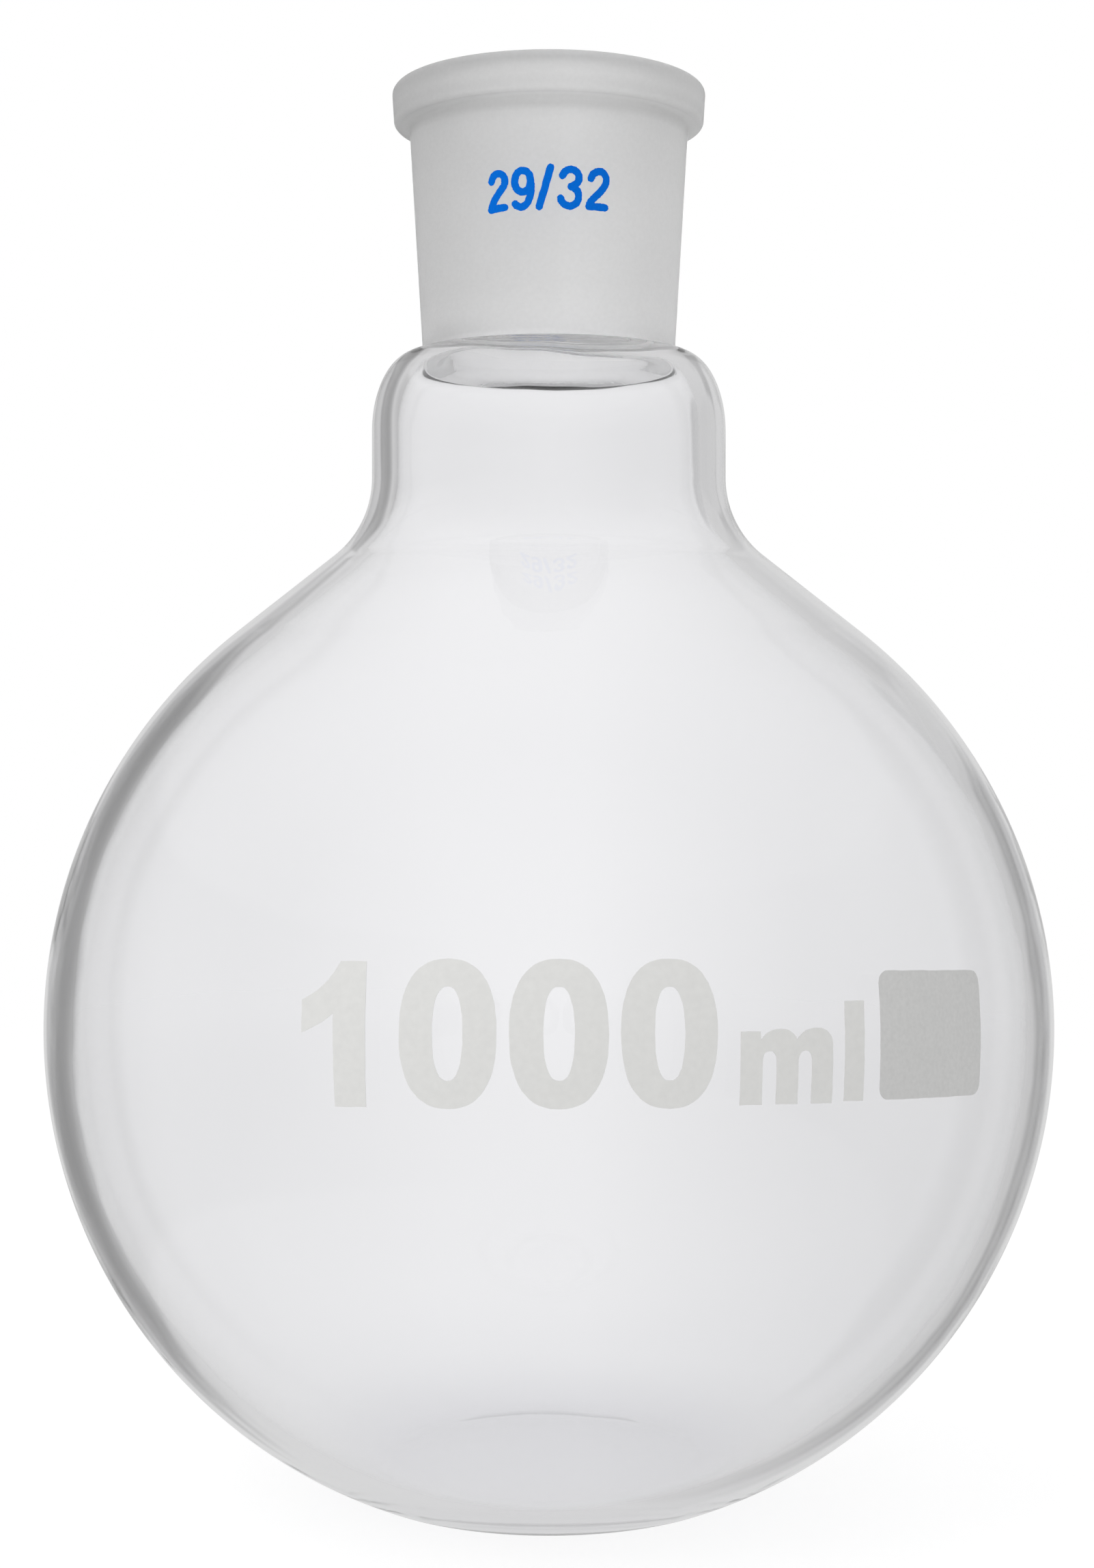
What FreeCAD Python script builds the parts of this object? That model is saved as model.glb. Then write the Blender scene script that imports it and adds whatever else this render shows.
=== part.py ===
# Flat-bottom boiling flask of borosilicate glass, 1000 ml, blown as one piece.
# A round bulb with a small flat base, a straight flank that curves into a short neck, a domed
# shoulder, and a ground 29/32 socket with a thick collar round its mouth.
# Millimetres, +Z up. The origin is on the axis, at the level of the surface that the base stands on.

import FreeCAD, Part
import math
import os

# Bulb
bulb_diameter = 131.0
bulb_wall = 3.4

# Base: a small flat, with a rounded heel that runs up into the bulb
base_flat_diameter = 41.2
heel_radius = 14.0
inner_heel_radius = 10.6
base_thickness = 3.4

# Flank and neck: the bulb rises in a cone, and a hollow curve turns the cone into the upright neck
flank_angle_deg = 51.5
flank_curve_radius = 13.3
neck_diameter = 46.5
neck_wall = 3.4
neck_length = 6.0

# Shoulder: the top of the neck closes in a dome onto the foot of the socket
shoulder_height = 10.2
shoulder_wall = 2.0
shoulder_ledge = 1.2
shoulder_root_fillet = 0.9

# Ground socket: its bore narrows by one in ten on the diameter, as in every 29/32 joint. Below the
# ground length a short straight foot flares into the shoulder.
socket_bore_diameter = 29.2
socket_ground_length = 32.0
socket_taper = 0.1
socket_foot_length = 2.9
socket_foot_wall = 3.55
socket_top_wall = 3.7
bore_flare_radius = 3.0

# Collar round the mouth: it steps out from the socket and widens a little up to the mouth
collar_height = 5.1
collar_step = 2.0
collar_flare = 0.3
collar_top_rounding = 1.0
collar_lower_rounding = 0.8
mouth_rounding = 0.8


def point(radius, height):
    """A point of the section, which lies in the XZ plane."""
    return FreeCAD.Vector(radius, 0, height)


def arc(centre, radius, start_angle, end_angle):
    """An arc of the section about a centre, between two angles counted from +X towards +Z."""
    angles = (start_angle, (start_angle + end_angle) / 2, end_angle)
    places = [centre + point(radius * math.cos(angle), radius * math.sin(angle)) for angle in angles]
    return Part.Arc(*places).toShape()


def dome_quarter(middle, half_width, height):
    """A quarter of an ellipse, from its outermost point up to its top."""
    stretch = FreeCAD.Matrix()
    stretch.scale(half_width, 1, height)
    stretch.move(middle)
    return arc(point(0, 0), 1, 0, math.pi / 2).transformGeometry(stretch)


# The outside's radii and heights, from the base up to the mouth
bulb_outer_radius = bulb_diameter / 2
base_flat_radius = base_flat_diameter / 2
neck_outer_radius = neck_diameter / 2

bulb_height = heel_radius + math.sqrt((bulb_outer_radius - heel_radius) ** 2 - base_flat_radius ** 2)
bulb_centre = point(0, bulb_height)

# The hollow curve's centre stands beside the neck, where the flank touches both it and the bulb
outer_flank_angle = math.radians(flank_angle_deg)
curve_centre_radius = neck_outer_radius + flank_curve_radius
curve_centre_rise = (
    bulb_outer_radius + flank_curve_radius - curve_centre_radius * math.cos(outer_flank_angle)
) / math.sin(outer_flank_angle)
flank_curve_centre = point(curve_centre_radius, bulb_height + curve_centre_rise)

neck_foot_height = bulb_height + curve_centre_rise
neck_top_height = neck_foot_height + neck_length
shoulder_top_height = neck_top_height + shoulder_height
bore_foot_height = shoulder_top_height + socket_foot_length
mouth_height = bore_foot_height + socket_ground_length
collar_foot_height = mouth_height - collar_height

# The socket: its bore, the wall round it at both ends, and the collar beyond that
bore_top_radius = socket_bore_diameter / 2
bore_foot_radius = bore_top_radius - socket_taper * socket_ground_length / 2
socket_foot_radius = bore_foot_radius + socket_foot_wall
socket_top_radius = bore_top_radius + socket_top_wall
collar_lower_radius = socket_top_radius + collar_step
collar_top_radius = collar_lower_radius + collar_flare

# The inside's radii and heights
bulb_inner_radius = bulb_outer_radius - bulb_wall
inner_heel_height = base_thickness + inner_heel_radius
inner_flat_radius = math.sqrt(
    (bulb_inner_radius - inner_heel_radius) ** 2 - (bulb_height - inner_heel_height) ** 2
)
neck_inner_radius = neck_outer_radius - neck_wall
inner_curve_radius = flank_curve_radius + neck_wall
inner_shoulder_top = shoulder_top_height - shoulder_wall

# The inner flank touches the inner bulb and the inner hollow curve, as the outer one does outside
centre_distance = math.hypot(curve_centre_radius, curve_centre_rise)
inner_flank_angle = math.atan2(curve_centre_rise, curve_centre_radius) - math.acos(
    (bulb_inner_radius + inner_curve_radius) / centre_distance
)


def side_edges(bulb_radius, heel_centre, heel, flank_angle, curve_radius):
    """One face of the wall from the base to the shoulder: heel, bulb, flank, hollow curve and neck."""
    heel_angle = math.atan2(heel_centre.z - bulb_height, heel_centre.x)
    heel_arc = arc(heel_centre, heel, -math.pi / 2, heel_angle)
    bulb_arc = arc(bulb_centre, bulb_radius, heel_angle, flank_angle)
    hollow_arc = arc(flank_curve_centre, curve_radius, math.pi + flank_angle, math.pi)
    flank = Part.makeLine(bulb_arc.lastVertex(True).Point, hollow_arc.firstVertex(True).Point)
    neck_radius = curve_centre_radius - curve_radius
    neck = Part.makeLine(point(neck_radius, neck_foot_height), point(neck_radius, neck_top_height))
    return [heel_arc, bulb_arc, flank, hollow_arc, neck]


def shoulder_edge(neck_radius, top_radius, top_height):
    """One face of the domed shoulder, from the neck in to the ledge round the socket."""
    middle = point(top_radius, neck_top_height)
    return dome_quarter(middle, neck_radius - top_radius, top_height - neck_top_height)


def outer_edges():
    """The outside of the section, from the middle of the base up to the edge of the mouth."""
    flat = Part.makeLine(point(0, 0), point(base_flat_radius, 0))
    heel_centre = point(base_flat_radius, heel_radius)
    ledge_radius = socket_foot_radius + shoulder_ledge
    corners = [
        point(ledge_radius, shoulder_top_height),
        point(socket_foot_radius, shoulder_top_height),
        point(socket_top_radius, collar_foot_height),
        point(collar_lower_radius, collar_foot_height),
        point(collar_top_radius, mouth_height),
        point(bore_top_radius, mouth_height),
    ]
    return (
        [flat]
        + side_edges(bulb_outer_radius, heel_centre, heel_radius, outer_flank_angle, flank_curve_radius)
        + [shoulder_edge(neck_outer_radius, ledge_radius, shoulder_top_height)]
        + Part.makePolygon(corners).Edges
    )


def inner_edges():
    """The inside of the section, from the middle of the floor up to the edge of the mouth."""
    floor = Part.makeLine(point(0, base_thickness), point(inner_flat_radius, base_thickness))
    heel_centre = point(inner_flat_radius, inner_heel_height)
    flare_centre = point(bore_foot_radius + bore_flare_radius, inner_shoulder_top + bore_flare_radius)
    flare = arc(flare_centre, bore_flare_radius, -math.pi / 2, -math.pi)
    corners = [
        point(bore_foot_radius, flare_centre.z),
        point(bore_foot_radius, bore_foot_height),
        point(bore_top_radius, mouth_height),
    ]
    return (
        [floor]
        + side_edges(bulb_inner_radius, heel_centre, inner_heel_radius, inner_flank_angle, inner_curve_radius)
        + [shoulder_edge(neck_inner_radius, flare_centre.x, inner_shoulder_top), flare]
        + Part.makePolygon(corners).Edges
    )


def fillet_ring(solid, ring_radius, ring_height, fillet_radius):
    """Rounds the one circular edge of the solid that has this radius and height."""
    tolerance = 1e-4
    rings = []
    for edge in solid.Edges:
        if not edge.Degenerated and isinstance(edge.Curve, Part.Circle):
            radius_off = abs(edge.Curve.Radius - ring_radius)
            height_off = abs(edge.Curve.Center.z - ring_height)
            if radius_off + height_off < tolerance:
                rings.append(edge)
    return solid.makeFillet(fillet_radius, rings)


def flask():
    """The whole flask: its section turned once round the axis, with the corners rounded."""
    middle = Part.makeLine(point(0, 0), point(0, base_thickness))
    section = Part.Wire(Part.__sortEdges__(outer_edges() + inner_edges() + [middle]))
    solid = Part.Face(section).revolve(point(0, 0), FreeCAD.Vector(0, 0, 1), 360)
    solid = fillet_ring(solid, socket_foot_radius, shoulder_top_height, shoulder_root_fillet)
    solid = fillet_ring(solid, collar_lower_radius, collar_foot_height, collar_lower_rounding)
    solid = fillet_ring(solid, collar_top_radius, mouth_height, collar_top_rounding)
    return fillet_ring(solid, bore_top_radius, mouth_height, mouth_rounding)


os.makedirs("parts", exist_ok=True)
glass = flask()
glass.exportStep("parts/flask.step")
print("bulb centre at %.2f, neck %.2f to %.2f" % (bulb_height, neck_foot_height, neck_top_height))
print("shoulder top %.2f, mouth %.2f, volume %.0f" % (shoulder_top_height, mouth_height, glass.Volume))
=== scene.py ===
# A flat-bottom boiling flask of clear borosilicate glass with a ground socket, on a pale studio floor.
# Sizes are in millimetres on the flask's own axis, +Z up from the surface that its base stands on.
# Its printed side faces -Y. MM turns millimetres into metres.

import math
import random

import bpy
import mathutils
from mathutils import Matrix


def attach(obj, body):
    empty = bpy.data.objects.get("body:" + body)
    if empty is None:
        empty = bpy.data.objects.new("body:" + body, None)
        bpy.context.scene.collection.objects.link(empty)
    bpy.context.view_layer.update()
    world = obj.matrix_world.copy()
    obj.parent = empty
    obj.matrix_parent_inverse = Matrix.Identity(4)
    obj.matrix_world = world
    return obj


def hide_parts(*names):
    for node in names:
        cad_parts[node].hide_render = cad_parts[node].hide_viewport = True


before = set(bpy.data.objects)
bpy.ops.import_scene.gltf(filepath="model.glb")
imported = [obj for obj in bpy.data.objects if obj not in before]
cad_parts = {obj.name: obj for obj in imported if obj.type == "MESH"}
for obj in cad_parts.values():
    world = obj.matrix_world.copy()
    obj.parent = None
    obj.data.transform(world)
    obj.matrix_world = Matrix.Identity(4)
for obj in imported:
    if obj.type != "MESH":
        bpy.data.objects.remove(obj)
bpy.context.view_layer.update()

MM = 0.001

# The camera stands in front of the printed side, level with the upper bulb, and looks a little down.
# It sees the socket from below. The picture's long side is the height.
camera_place = (-0.24, -340.0, 96.1)
camera_pitch_deg = -0.585
camera_lens = 59.17
camera_near = 10.0
sensor_size = 36.0

camera_data = bpy.data.cameras.new("camera")
camera_data.sensor_width = sensor_size
camera_data.lens = camera_lens
camera_data.clip_start = camera_near * MM
camera = bpy.data.objects.new("camera", camera_data)
camera.location = [MM * value for value in camera_place]
camera.rotation_euler = (math.radians(90 + camera_pitch_deg), 0, 0)
bpy.context.scene.collection.objects.link(camera)
bpy.context.scene.camera = camera

# The flask: borosilicate glass in one piece. The bulb is blown, its base is pressed flat, and the heavy
# socket is fused on at the shoulder. The blown inside is never quite true, so it swells a little, and
# the end of the bore is uneven where it was melted into the dome.
bulb_radius = 65.5
bulb_wall = 3.4
base_flat_radius = 20.6
heel_radius = 14.0
inner_heel_radius = 10.6
base_thickness = 3.4
flank_angle_deg = 51.5
flank_curve_radius = 13.3
neck_radius = 23.25
neck_wall = 3.4
neck_length = 6.0
shoulder_height = 10.2
shoulder_wall = 2.0
shoulder_ledge = 1.2
shoulder_root_fillet = 0.9
socket_foot_length = 2.9
socket_foot_radius = 16.55
socket_top_radius = 18.3
bore_foot_radius = 13.0
bore_top_radius = 14.6
bore_flare_radius = 3.0
ground_length = 32.0
collar_height = 5.1
collar_lower_radius = 20.3
collar_top_radius = 20.6
collar_lower_rounding = 0.8
collar_top_rounding = 1.0
mouth_rounding = 0.8

# How far the inside stands off its true shape, and over what lengths that dies out
swell_count = 7
swell_sizes = (0.01, 0.03)
swell_turns = (1, 5)
swell_rises = (30, 80)
swell_full_radius = 20.0
melt_size = 0.42
melt_turns = (2, 3, 5, 8, 13)
melt_drop_share = 0.6
melt_fade_height = 1.5
melt_fade_width = 2.5

# How finely the section and its turn are divided
turn_steps = 200
heel_step_deg = 1.5
bulb_step_deg = 1.3
curve_step_deg = 2.5
flare_step_deg = 3.0
rounding_step_deg = 9.0
straight_steps = 6
dome_steps = 26
socket_steps = 24
collar_steps = 10
same_place = 1e-3

flank_angle = math.radians(flank_angle_deg)
bulb_height = heel_radius + math.sqrt((bulb_radius - heel_radius) ** 2 - base_flat_radius ** 2)
curve_centre_radius = neck_radius + flank_curve_radius
curve_rise = (
    bulb_radius + flank_curve_radius - curve_centre_radius * math.cos(flank_angle)
) / math.sin(flank_angle)
neck_foot = bulb_height + curve_rise
neck_top = neck_foot + neck_length
shoulder_top = neck_top + shoulder_height
bore_foot = shoulder_top + socket_foot_length
mouth = bore_foot + ground_length
collar_foot = mouth - collar_height

noise = random.Random(7)
swells = [
    (
        noise.uniform(*swell_sizes),
        noise.randint(*swell_turns),
        noise.uniform(*swell_rises),
        noise.uniform(0, 2 * math.pi),
    )
    for _ in range(swell_count)
]
melts = [(melt_size / turns, turns, noise.uniform(0, 2 * math.pi)) for turns in melt_turns]


def arc(centre_r, centre_z, radius, start, end, step_deg):
    """Points along an arc, its ends included; angles count from outwards to upwards."""
    steps = max(2, math.ceil(abs(math.degrees(end - start)) / step_deg))
    angles = [start + (end - start) * i / steps for i in range(steps + 1)]
    return [(centre_r + radius * math.cos(a), centre_z + radius * math.sin(a)) for a in angles]


def line(start, end, steps):
    """Points along a straight run, its ends included."""
    return [tuple(a + (b - a) * i / steps for a, b in zip(start, end)) for i in range(steps + 1)]


def rounded(before, corner, after, radius, step_deg=rounding_step_deg):
    """An arc that rounds a corner of the section between the directions to the points beside it."""
    corner = mathutils.Vector(corner)
    to_before = (mathutils.Vector(before) - corner).normalized()
    to_after = (mathutils.Vector(after) - corner).normalized()
    half = math.acos(max(-1, min(1, to_before.dot(to_after)))) / 2
    centre = corner + (to_before + to_after).normalized() * radius / math.sin(half)
    first = corner + to_before * radius / math.tan(half) - centre
    last = corner + to_after * radius / math.tan(half) - centre
    start = math.atan2(first.y, first.x)
    turn = (math.atan2(last.y, last.x) - start + math.pi) % (2 * math.pi) - math.pi
    return arc(centre.x, centre.y, radius, start, start + turn, step_deg)


def side_face(radius, heel_r, heel_z, heel, flank, curve_radius):
    """One face of the wall from the base up: heel, bulb, flank, hollow curve and neck."""
    heel_angle = math.atan2(heel_z - bulb_height, heel_r)
    points = arc(heel_r, heel_z, heel, -math.pi / 2, heel_angle, heel_step_deg)
    points += arc(0, bulb_height, radius, heel_angle, flank, bulb_step_deg)
    hollow = arc(curve_centre_radius, neck_foot, curve_radius, math.pi + flank, math.pi, curve_step_deg)
    points += line(points[-1], hollow[0], straight_steps) + hollow
    return points + line(hollow[-1], (hollow[-1][0], neck_top), straight_steps)


def dome_face(radius, ledge_radius, top):
    """One face of the domed shoulder: a quarter of an ellipse from the neck in to the ledge."""
    width, height = radius - ledge_radius, top - neck_top
    angles = [math.pi / 2 * i / dome_steps for i in range(dome_steps + 1)]
    return [(ledge_radius + width * math.cos(a), neck_top + height * math.sin(a)) for a in angles]


def outer_face():
    """The clear outside, from the middle of the base up to the ledge round the socket's foot."""
    flat = line((0, 0), (base_flat_radius, 0), straight_steps)
    side = side_face(
        bulb_radius, base_flat_radius, heel_radius, heel_radius, flank_angle, flank_curve_radius
    )
    return flat + side + dome_face(neck_radius, socket_foot_radius + shoulder_ledge, shoulder_top)


def ground_face(start):
    """The ground glass, from its start on the ledge over the socket and collar and down the bore."""
    foot = (socket_foot_radius, shoulder_top)
    top = (socket_top_radius, collar_foot)
    lower = (collar_lower_radius, collar_foot)
    upper = (collar_top_radius, mouth)
    lip = (bore_top_radius, mouth)
    bore_end = (bore_foot_radius, bore_foot)
    top_corner = rounded(lower, upper, lip, collar_top_rounding)

    ground = rounded(start, foot, top, shoulder_root_fillet)
    ground += line(ground[-1], top, socket_steps)
    ground += rounded(top, lower, upper, collar_lower_rounding)
    ground += line(ground[-1], top_corner[0], collar_steps) + top_corner
    ground += rounded(upper, lip, bore_end, mouth_rounding)
    return ground + line(ground[-1], bore_end, socket_steps)


def inner_face():
    """The clear inside, from the middle of the floor up to the bore's flare."""
    radius = bulb_radius - bulb_wall
    heel_z = base_thickness + inner_heel_radius
    flat_radius = math.sqrt((radius - inner_heel_radius) ** 2 - (bulb_height - heel_z) ** 2)
    curve = flank_curve_radius + neck_wall
    flank = math.atan2(curve_rise, curve_centre_radius) - math.acos(
        (radius + curve) / math.hypot(curve_centre_radius, curve_rise)
    )
    floor = line((0, base_thickness), (flat_radius, base_thickness), straight_steps)
    side = side_face(radius, flat_radius, heel_z, inner_heel_radius, flank, curve)
    ledge_radius = bore_foot_radius + bore_flare_radius
    return floor + side + dome_face(neck_radius - neck_wall, ledge_radius, shoulder_top - shoulder_wall)


def flask_section():
    """The closed section: each place's radius and height, and the kind of face that it lies on."""
    outer = outer_face()
    inner = inner_face()
    flare_corner = (bore_foot_radius, shoulder_top - shoulder_wall)
    bore_end = (bore_foot_radius, bore_foot)
    flare = rounded(inner[-1], flare_corner, bore_end, bore_flare_radius, flare_step_deg)
    parts = (
        (outer, "outer"),
        (ground_face(outer[-1]), "ground"),
        (reversed(flare), "flare"),
        (reversed(inner), "inner"),
    )
    section = []
    for places, kind in parts:
        for radius, height in places:
            if not section or math.dist((radius, height), section[-1][:2]) > same_place:
                section.append((radius, height, kind))
    return section


def swell(turn, height):
    """How far the blown inside stands off its true shape at a place."""
    return sum(
        size * math.sin(turns * turn + 2 * math.pi * height / rise + start)
        for size, turns, rise, start in swells
    )


def melt(turn):
    """How far the bore's melted end stands off its true shape at a bearing."""
    return sum(size * math.sin(turns * turn + start) for size, turns, start in melts)


def melt_share(radius, height, kind):
    """The melted end's unevenness is full on the bore's flare and dies out over the dome's inside."""
    if kind == "flare":
        return min(1, (bore_foot - height) / melt_fade_height)
    if kind == "inner" and height > neck_top:
        return max(0, 1 - (radius - bore_foot_radius - bore_flare_radius) / melt_fade_width)
    return 0


def placed(name, places, faces):
    """A new object of these places and faces, set in the scene."""
    mesh = bpy.data.meshes.new(name)
    mesh.from_pydata(places, [], faces)
    mesh.update()
    made = bpy.data.objects.new(name, mesh)
    bpy.context.scene.collection.objects.link(made)
    return made


def turned(name, section):
    """The section turned once round the axis; its first and last places lie on the axis."""
    places = [(0, 0, section[0][1] * MM)]
    for radius, height, kind in section[1:-1]:
        for step in range(turn_steps):
            turn = 2 * math.pi * step / turn_steps
            swelling = swell(turn, height) * min(1, radius / swell_full_radius) if kind == "inner" else 0
            sag = melt(turn) * melt_share(radius, height, kind)
            reach = radius + swelling + sag
            level = (height + melt_drop_share * sag) * MM
            places.append((reach * MM * math.cos(turn), reach * MM * math.sin(turn), level))
    places.append((0, 0, section[-1][1] * MM))

    faces = []
    is_ground = []
    rings = len(section) - 2
    last = 1 + (rings - 1) * turn_steps
    for step in range(turn_steps):
        after = (step + 1) % turn_steps
        faces += [(0, 1 + after, 1 + step), (len(places) - 1, last + step, last + after)]
        is_ground += [0, 0]
        for ring in range(rings - 1):
            low = 1 + ring * turn_steps
            high = low + turn_steps
            faces.append((low + step, low + after, high + after, high + step))
            is_ground.append(int(section[ring + 1][2] == section[ring + 2][2] == "ground"))

    made = placed(name, places, faces)
    made.data.polygons.foreach_set("material_index", is_ground)
    made.data.polygons.foreach_set("use_smooth", [True] * len(faces))
    made.data.update()
    return made


def linear(hex_colour):
    """The linear colour, with alpha, of an sRGB hex value such as #d8dad9."""
    parts = [int(hex_colour[i : i + 2], 16) / 255 for i in (1, 3, 5)]
    return [p / 12.92 if p <= 0.04045 else ((p + 0.055) / 1.055) ** 2.4 for p in parts] + [1.0]


def add(tree, kind, inputs=None, **settings):
    """Adds a node to a tree. Each input is set to a value, or linked if it is given a socket."""
    made = tree.nodes.new("ShaderNode" + kind)
    for name, value in settings.items():
        setattr(made, name, value)
    for name, value in (inputs or {}).items():
        if isinstance(value, bpy.types.NodeSocket):
            tree.links.new(value, made.inputs[name])
        else:
            made.inputs[name].default_value = value
    return made


def empty_tree(owner):
    """The emptied node tree of a material or the world."""
    owner.use_nodes = True
    owner.node_tree.nodes.clear()
    return owner.node_tree


def ramp_along(tree, value, stops, unit):
    """A colour that changes with a value. Each stop is a place, in the unit, and the sRGB hex colour or
    the grey level there."""
    first, last = stops[0][0], stops[-1][0]
    share = add(tree, "MapRange", {"Value": value, "From Min": first * unit, "From Max": last * unit})
    ramp = add(tree, "ValToRGB", {"Fac": share.outputs[0]})
    elements = ramp.color_ramp.elements
    for i, (place, colour) in enumerate(stops):
        along = (place - first) / (last - first)
        stop = elements[0] if i == 0 else elements[-1] if i == len(stops) - 1 else elements.new(along)
        stop.position = along
        stop.color = linear(colour) if isinstance(colour, str) else (colour, colour, colour, 1)
    return ramp.outputs["Color"]


def let_lamps_through(tree, surface, shadow_colour):
    """Ends a glass material: its surface, through which the lamps light what lies behind it."""
    light_path = add(tree, "LightPath")
    clear = add(tree, "BsdfTransparent", {"Color": linear(shadow_colour)})
    mixed = add(
        tree,
        "MixShader",
        {0: light_path.outputs["Is Shadow Ray"], 1: surface.outputs[0], 2: clear.outputs[0]},
    )
    add(tree, "OutputMaterial", {"Surface": mixed.outputs[0]})


# Clear borosilicate glass: colourless, with soft waves in its surface from the blowing. Its colour
# carries painted shade: it is drawn a shade greyer in the neck, towards the base and to the right, and
# a little greyer to the left. The places are heights, and distances to the right of the middle.
glass_ior = 1.473
ripple_size = 14.0
ripple_depth = 0.03
clear_shadow = "#f3f3f4"
clear_painted_shade_by_height = (
    (0.0, "#eeeef1"),
    (3.0, "#f3f3f5"),
    (7.0, "#fbfbfc"),
    (118.0, "#fbfbfc"),
    (130.0, "#f6f6f7"),
    (141.0, "#f6f6f7"),
    (146.0, "#fafafb"),
    (184.0, "#fafafb"),
)
clear_painted_shade_by_side = (
    (-65.0, "#fbfbfb"),
    (-45.0, "#fbfbfb"),
    (-12.0, "#ffffff"),
    (4.0, "#ffffff"),
    (40.0, "#f8f8f8"),
    (65.0, "#f8f8f8"),
)

clear_glass = bpy.data.materials.new("borosilicate_glass")
tree = empty_tree(clear_glass)
place = add(tree, "TexCoord").outputs["Object"]
ripple = add(tree, "TexNoise", {"Vector": place, "Scale": 1 / (ripple_size * MM), "Detail": 2.0})
wave = add(tree, "Bump", {"Height": ripple.outputs["Fac"], "Strength": 1.0, "Distance": ripple_depth * MM})
axes = add(tree, "SeparateXYZ", {0: place})
# painted shade: the glass's colour made greyer in the neck, towards the base and towards the sides
clear_height_painted_shade = ramp_along(tree, axes.outputs["Z"], clear_painted_shade_by_height, MM)
clear_side_painted_shade = ramp_along(tree, axes.outputs["X"], clear_painted_shade_by_side, MM)
clear_painted_shade = add(tree, "VectorMath", {0: clear_height_painted_shade, 1: clear_side_painted_shade}, operation="MULTIPLY")
surface = add(
    tree,
    "BsdfPrincipled",
    {
        "Base Color": clear_painted_shade.outputs[0],
        "Roughness": 0.0,
        "IOR": glass_ior,
        "Transmission Weight": 1.0,
        "Normal": wave.outputs["Normal"],
    },
)
let_lamps_through(tree, surface, clear_shadow)

# Ground glass: the socket is ground matt inside and etched matt outside, so it scatters what it lets
# through and hides what is behind it. A faint painted glow on the bore is painted light that stands in
# for light scattered many times in the wall. The real grit is some hundredths of a millimetre and is
# drawn coarser, so that it shows.
grit_size = 0.5
grit_depth = 0.05
grit_strength = 0.5
grain_share = 0.06
ground_roughness = 0.6
ground_clearness = 0.7
ground_shadow = "#d9d9d9"
# painted shade by height: darker just under the collar where its shadow falls, faint dark and light bands
# on the collar for the shading of its ridges, and lighter towards the socket's foot
ground_painted_shade_by_height = (
    (145.0, "#f5f5f5"),
    (152.0, "#ededed"),
    (156.0, "#e8e8e8"),
    (165.0, "#e6e6e6"),
    (176.9, "#e1e1e1"),
    (178.0, "#c9c9c9"),
    (178.6, "#cbcbcb"),
    (179.1, "#dcdcdc"),
    (180.0, "#d7d7d7"),
    (181.0, "#dcdcdc"),
    (182.2, "#d6d6d6"),
    (184.0, "#dadada"),
)
# painted shade: the ground glass is drawn darker towards its left side, over these distances to the right
# of the middle
ground_left_painted_shade = 0.86
ground_left_painted_shade_from, ground_left_painted_shade_to = -18.0, 2.0
painted_bore_glow = 0.07
painted_bore_glow_radius, painted_bore_glow_end = 15.0, 15.8

ground_glass = bpy.data.materials.new("ground_glass")
tree = empty_tree(ground_glass)
place = add(tree, "TexCoord").outputs["Object"]
grit = add(tree, "TexNoise", {"Vector": place, "Scale": 1 / (grit_size * MM), "Detail": 3.0})
pits = add(
    tree,
    "Bump",
    {"Height": grit.outputs["Fac"], "Strength": grit_strength, "Distance": grit_depth * MM},
)
axes = add(tree, "SeparateXYZ", {0: place})
ground_height_painted_shade = ramp_along(tree, axes.outputs["Z"], ground_painted_shade_by_height, MM)
grain = add(
    tree,
    "MapRange",
    {"Value": grit.outputs["Fac"], "To Min": 1 - grain_share, "To Max": 1 + grain_share},
)
ground_side_painted_shade = add(
    tree,
    "MapRange",
    {
        "Value": axes.outputs["X"],
        "From Min": ground_left_painted_shade_from * MM,
        "From Max": ground_left_painted_shade_to * MM,
        "To Min": ground_left_painted_shade,
        "To Max": 1.0,
    },
)
dimmed = add(tree, "Math", {0: grain.outputs[0], 1: ground_side_painted_shade.outputs[0]}, operation="MULTIPLY")
shade = add(tree, "VectorMath", {0: ground_height_painted_shade, "Scale": dimmed.outputs[0]}, operation="SCALE")
level_place = add(tree, "VectorMath", {0: place, 1: (1, 1, 0)}, operation="MULTIPLY")
off_axis = add(tree, "VectorMath", {0: level_place.outputs[0]}, operation="LENGTH")
# painted light: the bore's ground surface glows faintly, fading out towards the outside
glow = add(
    tree,
    "MapRange",
    {
        "Value": off_axis.outputs["Value"],
        "From Min": painted_bore_glow_radius * MM,
        "From Max": painted_bore_glow_end * MM,
        "To Min": painted_bore_glow,
        "To Max": 0.0,
    },
)
surface = add(
    tree,
    "BsdfPrincipled",
    {
        "Base Color": shade.outputs[0],
        "Emission Color": glow.outputs[0],
        "Emission Strength": 1.0,
        "Roughness": ground_roughness,
        "IOR": glass_ior,
        "Transmission Weight": ground_clearness,
        "Normal": pits.outputs["Normal"],
    },
)
let_lamps_through(tree, surface, ground_shadow)

flask = turned("flask_glass", flask_section())
flask.data.materials.append(clear_glass)
flask.data.materials.append(ground_glass)
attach(flask, "root")
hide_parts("flask")

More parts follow.
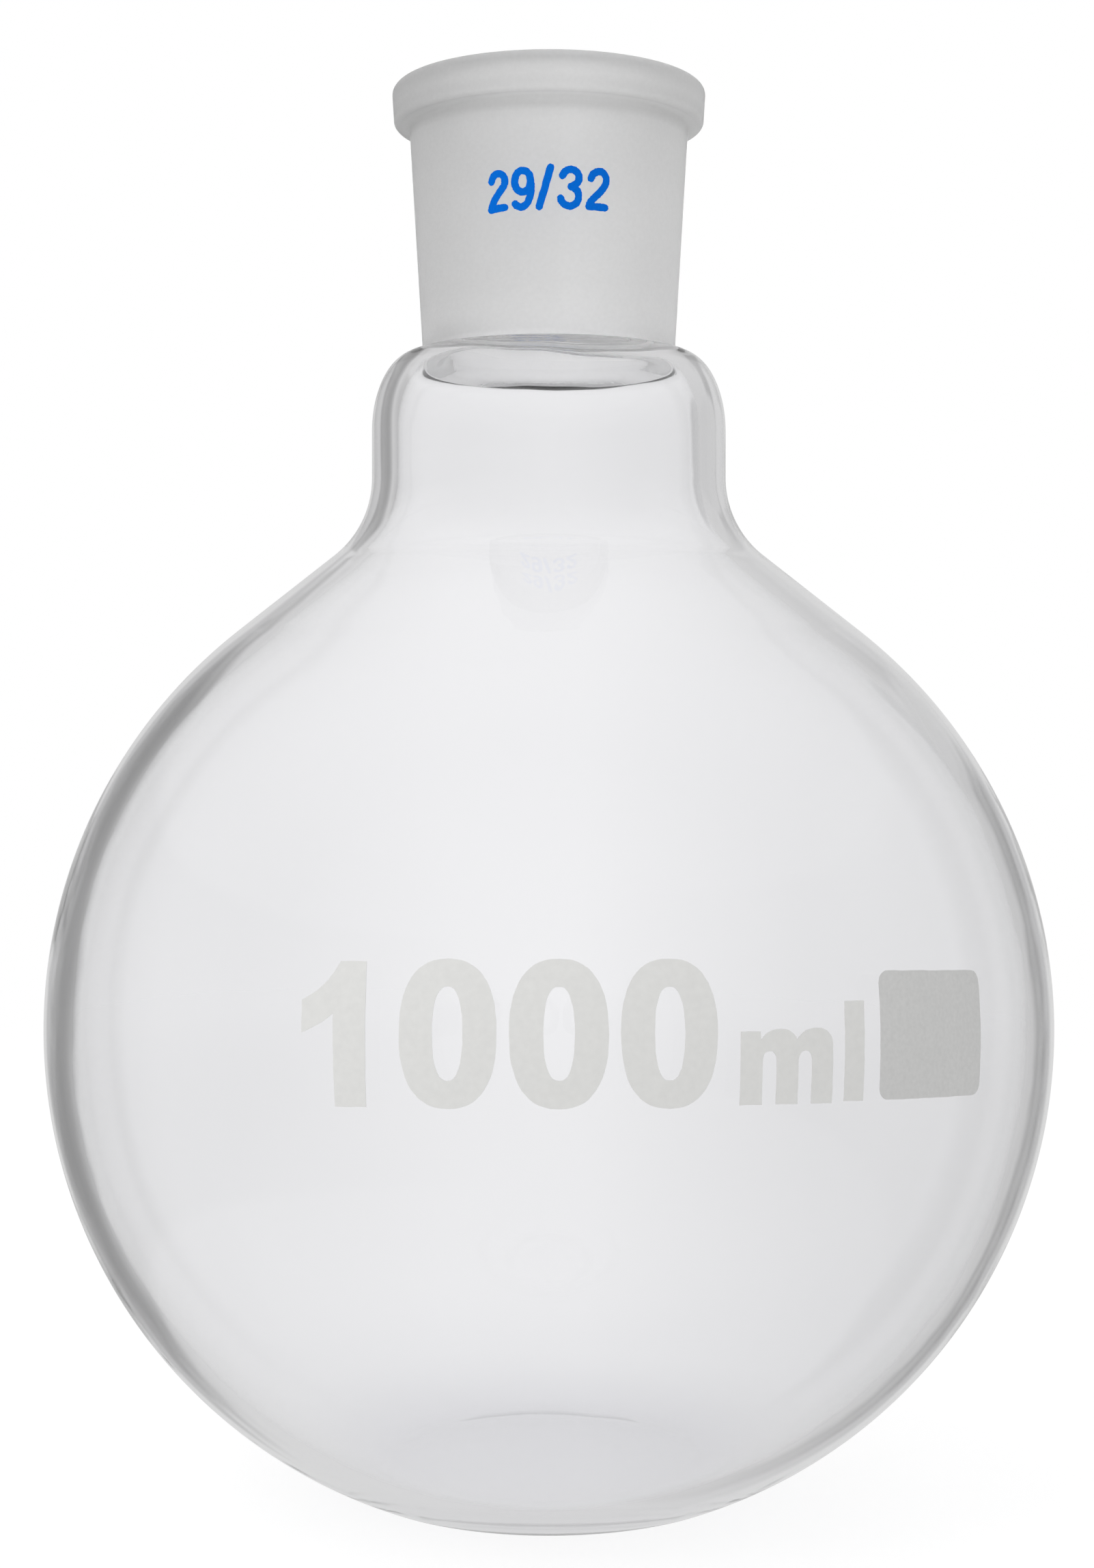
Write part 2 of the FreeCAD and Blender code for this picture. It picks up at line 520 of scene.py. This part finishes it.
# The capacity print: "1000 ml" in white enamel, screened onto the front of the bulb and fired in. Its
# band sits a little above the widest part, so it is laid out on the bulb tipped by a few degrees.
# Places in it are the distance to the right of the middle and the distance up, along the glass.
print_tilt_deg = 4.4
print_raise = 0.02
print_depth = 0.03
print_spacing = 1.5
print_unevenness = 0.03
outline_spacing = 1.2
figure_bottom = -7.6
zero_width = 10.7
zero_height = 16.1
zero_middle = 0.4
zero_roundness = 2.4
counter_width = 3.35
counter_height = 10.05
zero_places = (-11.0, 1.05, 13.07)
m_foot = -7.4
enamel_ior = 1.5
enamel_grain_strength = 0.4
enamel_grain_depth = 0.02


def on_bulb(right, up, raised):
    """The place of the bulb's glass at a place in its print, raised off the surface."""
    tilt = math.radians(print_tilt_deg)
    radius = bulb_radius + raised
    level, side = up / bulb_radius, right / bulb_radius
    x = radius * math.cos(level) * math.sin(side)
    y = -radius * math.cos(level) * math.cos(side)
    z = radius * math.sin(level)
    return (
        x * MM,
        (y * math.cos(tilt) + z * math.sin(tilt)) * MM,
        (bulb_height - y * math.sin(tilt) + z * math.cos(tilt)) * MM,
    )


def closed(corners):
    """A closed outline through the corners, with places along its sides."""
    outline = []
    for start, end in zip(corners, corners[1:] + corners[:1]):
        outline += line(start, end, max(1, math.ceil(math.dist(start, end) / outline_spacing)))[:-1]
    return outline


def bend(start, control, end, steps=8):
    """Places along a curve that leaves its start and reaches its end in the control's direction."""
    runs = [i / steps for i in range(steps + 1)]
    return [
        tuple((1 - t) ** 2 * a + 2 * t * (1 - t) * b + t * t * c for a, b, c in zip(start, control, end))
        for t in runs
    ]


def oval(middle, half_width, half_height, roundness, steps=56):
    """A closed oval; a roundness of 2 gives an ellipse, and more squares it off."""
    outline = []
    for i in range(steps):
        c, s = math.cos(2 * math.pi * i / steps), math.sin(2 * math.pi * i / steps)
        outline.append(
            (
                middle[0] + half_width * math.copysign(abs(c) ** (2 / roundness), c),
                middle[1] + half_height * math.copysign(abs(s) ** (2 / roundness), s),
            )
        )
    return outline


def uneven(outline, unevenness, wander):
    """The outline with each of its places off by a chance amount."""
    return [tuple(value + wander.uniform(-unevenness, unevenness) for value in place) for place in outline]


def is_inside(place, outline):
    """Whether a place lies within a closed outline."""
    crossings = 0
    for (a_x, a_y), (b_x, b_y) in zip(outline, outline[1:] + outline[:1]):
        if (a_y > place[1]) != (b_y > place[1]):
            crossings += place[0] < a_x + (place[1] - a_y) * (b_x - a_x) / (b_y - a_y)
    return crossings % 2 == 1


def is_covered(place, shapes):
    """Whether a place lies within a shape and not in one of its holes."""
    return any(sum(is_inside(place, outline) for outline in shape) % 2 for shape in shapes)


def flat_triangles(shapes, spacing):
    """The places and triangles that fill the shapes, with inner places at about the spacing."""
    places = []
    edges = []
    for shape in shapes:
        for outline in shape:
            first, count = len(places), len(outline)
            places += outline
            edges += [(first + i, first + (i + 1) % count) for i in range(count)]
    rims = list(places)
    left, bottom = (min(place[axis] for place in rims) for axis in (0, 1))
    right, top = (max(place[axis] for place in rims) for axis in (0, 1))
    clearance = 0.4 * spacing
    for i in range(int((right - left) / spacing) + 1):
        for j in range(int((top - bottom) / spacing) + 1):
            place = (left + (i + 0.5) * spacing, bottom + (j + 0.5) * spacing)
            if is_covered(place, shapes) and min(math.dist(place, rim) for rim in rims) > clearance:
                places.append(place)
    vectors = [mathutils.Vector(place) for place in places]
    places, _, triangles, _, _, _ = mathutils.geometry.delaunay_2d_cdt(vectors, edges, [], 0, 1e-5)
    middles = [sum((places[i] for i in triangle), mathutils.Vector((0, 0))) / 3 for triangle in triangles]
    return places, [tri for tri, middle in zip(triangles, middles) if is_covered(middle, shapes)]


def printed(name, shapes, wrap, spacing, unevenness):
    """A thin closed layer of print that covers the shapes and follows the curved glass. Each shape is
    a list of its outline and the outlines of its holes."""
    wander = random.Random(5)
    shapes = [[uneven(outline, unevenness, wander) for outline in shape] for shape in shapes]
    flat, kept = flat_triangles(shapes, spacing)
    used = sorted({corner for triangle in kept for corner in triangle})
    number = {corner: i for i, corner in enumerate(used)}
    places = [wrap(*flat[corner], raised) for raised in (print_raise, -print_depth) for corner in used]
    faces = []
    rim = set()
    for triangle in kept:
        a, b, c = (number[corner] for corner in triangle)
        faces += [(a, b, c), (len(used) + c, len(used) + b, len(used) + a)]
        for start, end in ((a, b), (b, c), (c, a)):
            if (end, start) in rim:
                rim.remove((end, start))
            else:
                rim.add((start, end))
    faces += [(end, start, len(used) + start, len(used) + end) for start, end in sorted(rim)]
    return placed(name, places, faces)


def enamel(name, colour, roughness, mottle_size, mottle_share, shine):
    """Fired enamel: an opaque glassy paint, a little uneven in shade where the screen laid it thinner."""
    made = bpy.data.materials.new(name)
    tree = empty_tree(made)
    place = add(tree, "TexCoord").outputs["Object"]
    mottle = add(tree, "TexNoise", {"Vector": place, "Scale": 1 / (mottle_size * MM), "Detail": 4.0})
    shade = add(
        tree,
        "MapRange",
        {"Value": mottle.outputs["Fac"], "To Min": 1 - mottle_share, "To Max": 1 + mottle_share},
    )
    colour = add(tree, "VectorMath", {0: linear(colour)[:3], "Scale": shade.outputs[0]}, operation="SCALE")
    grain = add(
        tree,
        "Bump",
        {
            "Height": mottle.outputs["Fac"],
            "Strength": enamel_grain_strength,
            "Distance": enamel_grain_depth * MM,
        },
    )
    surface = add(
        tree,
        "BsdfPrincipled",
        {
            "Base Color": colour.outputs[0],
            "Roughness": roughness,
            "IOR": enamel_ior,
            "Specular IOR Level": shine,
            "Normal": grain.outputs["Normal"],
        },
    )
    add(tree, "OutputMaterial", {"Surface": surface.outputs[0]})
    return made


one = [(-20.2, figure_bottom), (-20.2, 8.16), (-23.29, 8.16)]
one += bend((-23.29, 8.16), (-24.9, 5.2), (-27.84, 3.97))[1:]
one += bend((-27.84, 0.44), (-25.5, 1.2), (-24.03, 2.48))
one += [(-23.88, figure_bottom)]

m_shape = [(32.5, m_foot), (32.5, -1.4)]
m_shape += bend((32.5, -1.4), (32.5, 0.88), (30.39, 0.88))
m_shape += bend((30.39, 0.88), (28.7, 0.88), (27.86, -0.37))[1:]
m_shape += bend((27.86, -0.37), (27.3, 0.79), (25.87, 0.79))
m_shape += bend((25.87, 0.79), (24.2, 0.79), (23.44, -0.4))[1:]
m_shape += [(23.4, 0.55), (21.04, 0.55), (21.04, m_foot), (23.67, m_foot), (23.67, -2.6)]
m_shape += bend((23.67, -2.6), (23.75, -1.6), (24.5, -1.6), 4)[1:]
m_shape += bend((24.5, -1.6), (25.3, -1.6), (25.34, -2.6), 4)[1:]
m_shape += [(25.34, m_foot), (28.05, m_foot), (28.05, -2.6)]
m_shape += bend((28.05, -2.6), (28.15, -1.6), (28.9, -1.6), 4)[1:]
m_shape += bend((28.9, -1.6), (29.7, -1.6), (29.77, -2.6), 4)[1:]
m_shape += [(29.77, m_foot)]

l_shape = [(34.1, -7.26), (36.8, -7.26), (36.8, 3.78), (34.1, 3.78)]

capacity_shapes = [[closed(shape)] for shape in (one, m_shape, l_shape)]
for right in zero_places:
    middle = (right, zero_middle)
    around = oval(middle, zero_width / 2, zero_height / 2, zero_roundness)
    counter = oval(middle, counter_width / 2, counter_height / 2, zero_roundness, steps=40)
    capacity_shapes.append([around, counter])

white_enamel = enamel(
    "white_enamel", "#e6e6e4", roughness=0.5, mottle_size=0.8, mottle_share=0.05, shine=0.5
)
capacity_print = printed("capacity_print", capacity_shapes, on_bulb, print_spacing, print_unevenness)
capacity_print.data.materials.append(white_enamel)
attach(capacity_print, "root")

# The marking patch: a plain block of matt enamel beside the capacity, to write on in pencil. It is laid
# on thinner than the figures, so it looks a little greyer and more speckled.
patch_left, patch_right = 39.12, 56.73
patch_bottom, patch_top = -7.3, 7.1
patch_corner = 1.4
patch_corner_step_deg = 15

patch_shape = []
for corner_x, corner_y, turned_deg in (
    (patch_right - patch_corner, patch_bottom + patch_corner, -90),
    (patch_right - patch_corner, patch_top - patch_corner, 0),
    (patch_left + patch_corner, patch_top - patch_corner, 90),
    (patch_left + patch_corner, patch_bottom + patch_corner, 180),
):
    start, end = math.radians(turned_deg), math.radians(turned_deg + 90)
    patch_shape += arc(corner_x, corner_y, patch_corner, start, end, patch_corner_step_deg)

patch_enamel = enamel(
    "writing_enamel", "#d5d5d4", roughness=0.7, mottle_size=0.5, mottle_share=0.09, shine=0.5
)
marking_patch = printed("marking_patch", [[closed(patch_shape)]], on_bulb, print_spacing, print_unevenness)
marking_patch.data.materials.append(patch_enamel)
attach(marking_patch, "root")

# The joint size: "29/32" in blue enamel on the front of the socket, drawn with one even round-ended
# stroke. Places are the distance to the right and the distance up from the middle of the print.
stroke_width = 0.93
stroke_end_step_deg = 20
size_print_height = 167.3
size_print_radius = 17.6
size_print_spacing = 0.6
size_print_unevenness = 0.035
nine_middle = (-3.29, 0.8)
nine_half_width = 1.01
nine_half_height = 1.31
nine_roundness = 2.1
size_strokes = [
    [
        (-7.38, 0.96), (-7.08, 1.61), (-6.38, 1.93), (-5.76, 1.55), (-5.59, 0.86),
        (-5.83, 0.21), (-6.45, -0.59), (-7.02, -1.39), (-7.41, -2.2), (-7.48, -2.52),
    ],
    [(-7.48, -2.52), (-6.58, -2.38), (-5.66, -2.32)],
    [
        (-2.27, 0.78), (-2.24, -0.39), (-2.42, -1.23), (-2.81, -2.01),
        (-3.47, -2.37), (-4.09, -2.15), (-4.29, -1.95),
    ],
    [(0.22, 2.45), (-0.48, 0.08), (-1.22, -2.36)],
    [(1.7, 1.46), (2.06, 2.0), (2.74, 2.23), (3.43, 1.98), (3.77, 1.3), (3.53, 0.58), (2.78, 0.11)],
    [
        (2.78, 0.11), (3.47, -0.26), (3.74, -0.92), (3.56, -1.77),
        (2.78, -2.27), (2.04, -2.12), (1.58, -1.68), (1.48, -1.37),
    ],
    [
        (5.31, 1.25), (5.65, 1.86), (6.41, 2.19), (7.08, 1.91), (7.39, 1.13),
        (7.04, 0.22), (6.23, -0.69), (5.41, -1.51), (5.1, -2.22),
    ],
    [(5.1, -2.22), (6.17, -2.2), (7.29, -2.23)],
]


def on_socket(right, up, raised):
    """The place of the socket's outside at a place in its print, raised off the surface."""
    height = size_print_height + up
    share = (height - shoulder_top) / (collar_foot - shoulder_top)
    radius = socket_foot_radius + (socket_top_radius - socket_foot_radius) * share + raised
    side = right / size_print_radius
    return (radius * math.sin(side) * MM, -radius * math.cos(side) * MM, height * MM)


def smooth(places, steps=6):
    """A smooth run through all of the places."""
    run = [places[0]]
    ends = [places[0]] + list(places) + [places[-1]]
    for before, start, end, after in zip(ends, ends[1:], ends[2:], ends[3:]):
        for i in range(1, steps + 1):
            t = i / steps
            run.append(
                tuple(
                    b + t * (c - a + t * (2 * a - 5 * b + 4 * c - d + t * (3 * (b - c) + d - a))) / 2
                    for a, b, c, d in zip(before, start, end, after)
                )
            )
    return run


def stroke(places):
    """The outline of a stroke along a run of places, with round ends."""
    half = stroke_width / 2
    sides = []
    for i, (x, y) in enumerate(places):
        start, end = places[max(0, i - 1)], places[min(len(places) - 1, i + 1)]
        sides.append((x, y, math.atan2(end[1] - start[1], end[0] - start[0])))
    right = [(x + half * math.sin(h), y - half * math.cos(h)) for x, y, h in sides]
    left = [(x - half * math.sin(h), y + half * math.cos(h)) for x, y, h in sides]
    x, y, heading = sides[-1]
    ending = arc(x, y, half, heading - math.pi / 2, heading + math.pi / 2, stroke_end_step_deg)
    x, y, heading = sides[0]
    beginning = arc(x, y, half, heading + math.pi / 2, heading + 3 * math.pi / 2, stroke_end_step_deg)
    return right + ending[1:-1] + left[::-1] + beginning[1:-1]


size_shapes = [[stroke(smooth(places))] for places in size_strokes]
size_shapes.append(
    [
        oval(nine_middle, nine_half_width + side, nine_half_height + side, nine_roundness, steps)
        for side, steps in ((stroke_width / 2, 56), (-stroke_width / 2, 28))
    ]
)

blue_enamel = enamel(
    "blue_enamel", "#006edc", roughness=0.4, mottle_size=0.25, mottle_share=0.16, shine=0.06
)
joint_size_print = printed(
    "joint_size_print", size_shapes, on_socket, size_print_spacing, size_print_unevenness
)
joint_size_print.data.materials.append(blue_enamel)
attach(joint_size_print, "root")

# The studio's room: white where the glass is looked through, and with its own bright and dim sides
# where light has bounced off or inside the glass. Its levels go by bearing, in degrees to the right of
# straight behind the flask. The bands between them lean outwards, in radians, by the ray's height.
lit_level = 0.55
room_by_bearing = (
    (-180, 0.5),
    (-150, 0.4),
    (-110, 0.36),
    (-85, 0.56),
    (-65, 0.55),
    (-55, 0.55),
    (-48, 0.68),
    (-43.5, 0.42),
    (-40, 0.3),
    (-30, 0.3),
    (-26, 0.33),
    (-22.5, 0.68),
    (0, 0.75),
    (25, 0.7),
    (29, 0.3),
    (35, 0.3),
    (39, 0.65),
    (60, 0.65),
    (85, 0.5),
    (110, 0.3),
    (150, 0.4),
    (180, 0.5),
)
room_lean = ((-1.0, 0.5), (-0.6, 0.21), (-0.3, 0.05), (0.0, 0.0), (0.5, 0.2), (1.0, 0.4))

# The levels above and below the bands, behind the flask and in front of it. A band is given by its
# middle height and by how far off it starts and ends giving way to them.
overhead_level = 0.7
front_level = 0.5
left_band = (-0.05, 0.4, 0.46)
right_band = (-0.15, 0.2, 0.7)
side_blend = 0.1
front_blend = 0.3


def has_bounced(tree, depth):
    """1 for a ray that has already bounced in the way that the depth counts, and 0 for any other."""
    path = add(tree, "LightPath")
    return add(tree, "Math", {0: path.outputs[depth], 1: 0.5}, operation="GREATER_THAN").outputs[0]


world = bpy.data.worlds.new("studio_air")
bpy.context.scene.world = world
tree = empty_tree(world)
bounced = has_bounced(tree, "Glossy Depth")
diffused = has_bounced(tree, "Diffuse Depth")
direction = add(tree, "SeparateXYZ", {0: add(tree, "TexCoord").outputs["Generated"]})
to_right, to_back, to_top = (direction.outputs[axis] for axis in "XYZ")
bearing = add(tree, "Math", {0: to_right, 1: to_back}, operation="ARCTAN2")
lean = ramp_along(tree, to_top, room_lean, 1.0)
side = add(tree, "Math", {0: to_right}, operation="SIGN")
leant = add(tree, "Math", {0: lean, 1: side.outputs[0], 2: bearing.outputs[0]}, operation="MULTIPLY_ADD")
room = ramp_along(tree, leant.outputs[0], room_by_bearing, math.radians(1))
rightward = add(tree, "MapRange", {"Value": to_right, "From Min": -side_blend, "From Max": side_blend})
band_middle, band_from, band_to = (
    add(tree, "MapRange", {"Value": rightward.outputs[0], "To Min": left, "To Max": right}).outputs[0]
    for left, right in zip(left_band, right_band)
)
off_middle = add(tree, "Math", {0: to_top, 1: band_middle}, operation="SUBTRACT")
steep = add(tree, "Math", {0: off_middle.outputs[0]}, operation="ABSOLUTE")
high = add(
    tree,
    "MapRange",
    {"Value": steep.outputs[0], "From Min": band_from, "From Max": band_to},
    interpolation_type="SMOOTHSTEP",
)
beyond = add(
    tree,
    "MapRange",
    {
        "Value": to_back,
        "From Min": -front_blend,
        "From Max": front_blend,
        "To Min": front_level,
        "To Max": overhead_level,
    },
)
bounce_level = add(tree, "Mix", {"Factor": high.outputs[0], "A": room, "B": beyond.outputs[0]})
seen = add(tree, "Mix", {"Factor": bounced, "A": 1.0, "B": bounce_level.outputs[0]})
level = add(tree, "Mix", {"Factor": diffused, "A": seen.outputs[0], "B": lit_level})
sky = add(tree, "Background", {"Color": (1, 1, 1, 1), "Strength": level.outputs[0]})
add(tree, "OutputWorld", {"Surface": sky.outputs[0]})

# The floor: a wide sheet of white paper just under the base. Near the flask it glows a little less, so
# that the flask's shadow shows on the paper, and less again to rays through the glass, which is painted
# shade round the flask's foot. Farther off it is as white as the room, so that no horizon shows, and
# bounced light passes through it.
floor_size = 6000.0
floor_drop = 0.05
paper_colour = "#9a9a9a"
# painted shade: the lower glow for rays through the glass dims the paper seen through the flask
seen_glow, glass_glow = 0.78, 0.7
near_distance, far_distance = 100.0, 750.0

half = floor_size / 2 * MM
corners = [(-half, -half), (half, -half), (half, half), (-half, half)]
floor = placed("floor", [(x, y, -floor_drop * MM) for x, y in corners], [(0, 1, 2, 3)])

paper = bpy.data.materials.new("white_paper")
tree = empty_tree(paper)
bounced = has_bounced(tree, "Glossy Depth")
diffused = has_bounced(tree, "Diffuse Depth")
from_camera = add(tree, "LightPath").outputs["Is Camera Ray"]
away = add(tree, "VectorMath", {0: add(tree, "TexCoord").outputs["Object"]}, operation="LENGTH")
far = add(
    tree,
    "MapRange",
    {"Value": away.outputs["Value"], "From Min": near_distance * MM, "From Max": far_distance * MM},
    interpolation_type="SMOOTHSTEP",
)
near_glow = add(tree, "Mix", {"Factor": from_camera, "A": glass_glow, "B": seen_glow})
near_level = add(tree, "Mix", {"Factor": diffused, "A": near_glow.outputs[0], "B": lit_level})
far_level = add(tree, "Mix", {"Factor": diffused, "A": 1.0, "B": lit_level})
glow = add(tree, "Emission", {"Strength": near_level.outputs[0]})
dull = add(tree, "BsdfDiffuse", {"Color": linear(paper_colour)})
near_paper = add(tree, "AddShader", {0: glow.outputs[0], 1: dull.outputs[0]})
far_paper = add(tree, "Emission", {"Strength": far_level.outputs[0]})
sheet = add(tree, "MixShader", {0: far.outputs[0], 1: near_paper.outputs[0], 2: far_paper.outputs[0]})
let_through = add(tree, "BsdfTransparent")
mixed = add(tree, "MixShader", {0: bounced, 1: sheet.outputs[0], 2: let_through.outputs[0]})
add(tree, "OutputMaterial", {"Surface": mixed.outputs[0]})
floor.data.materials.append(paper)

# The grey card: a soft-edged oval that stands behind the flask to the right, out of the picture. The
# right side of the neck looks at it, and so is an even grey. It is 2 across before it is scaled.
card_place = (198.0, 233.0, 180.0)
card_half_width = 80.0
card_half_height = 38.0
card_level = 0.64
card_fade_from = 0.7

card = placed("grey_card", [(-1, 0, -1), (1, 0, -1), (1, 0, 1), (-1, 0, 1)], [(0, 1, 2, 3)])
card.location = [MM * value for value in card_place]
card.scale = (card_half_width * MM, 1, card_half_height * MM)
card.rotation_euler = (0, 0, -math.atan2(card_place[0], card_place[1]))

grey_board = bpy.data.materials.new("grey_board")
tree = empty_tree(grey_board)
off_middle = add(tree, "VectorMath", {0: add(tree, "TexCoord").outputs["Object"]}, operation="LENGTH")
edge = add(
    tree,
    "MapRange",
    {"Value": off_middle.outputs["Value"], "From Min": card_fade_from, "From Max": 1.0},
    interpolation_type="SMOOTHSTEP",
)
board = add(tree, "Emission", {"Strength": card_level})
let_through = add(tree, "BsdfTransparent")
mixed = add(tree, "MixShader", {0: edge.outputs[0], 1: board.outputs[0], 2: let_through.outputs[0]})
add(tree, "OutputMaterial", {"Surface": mixed.outputs[0]})
card.data.materials.append(grey_board)

# The lamps: two soft square lamps in front of the flask, a stronger one to the left and a weaker one to
# the right. They light the print and the floor, and the glass doesn't mirror them.
lamp_size = 600.0
lamp_aim_height = 80.0


def lamp(name, place, power):
    """A lamp that faces the middle of the flask."""
    data = bpy.data.lights.new(name, "AREA")
    data.size = lamp_size * MM
    data.energy = power
    made = bpy.data.objects.new(name, data)
    made.location = [MM * value for value in place]
    aim = mathutils.Vector((0, 0, lamp_aim_height * MM)) - made.location
    made.rotation_euler = aim.to_track_quat("-Z", "Y").to_euler()
    made.visible_glossy = False
    made.visible_transmission = False
    bpy.context.scene.collection.objects.link(made)


lamp("key_lamp", (-500, -500, 800), power=4.2)
lamp("fill_lamp", (600, -300, 700), power=0.9)

# How the picture is shown, and how often light may bounce inside the glass
bpy.context.scene.view_settings.view_transform = "Standard"
cycles = bpy.context.scene.cycles
cycles.max_bounces = 32
cycles.transmission_bounces = 32
cycles.glossy_bounces = 16
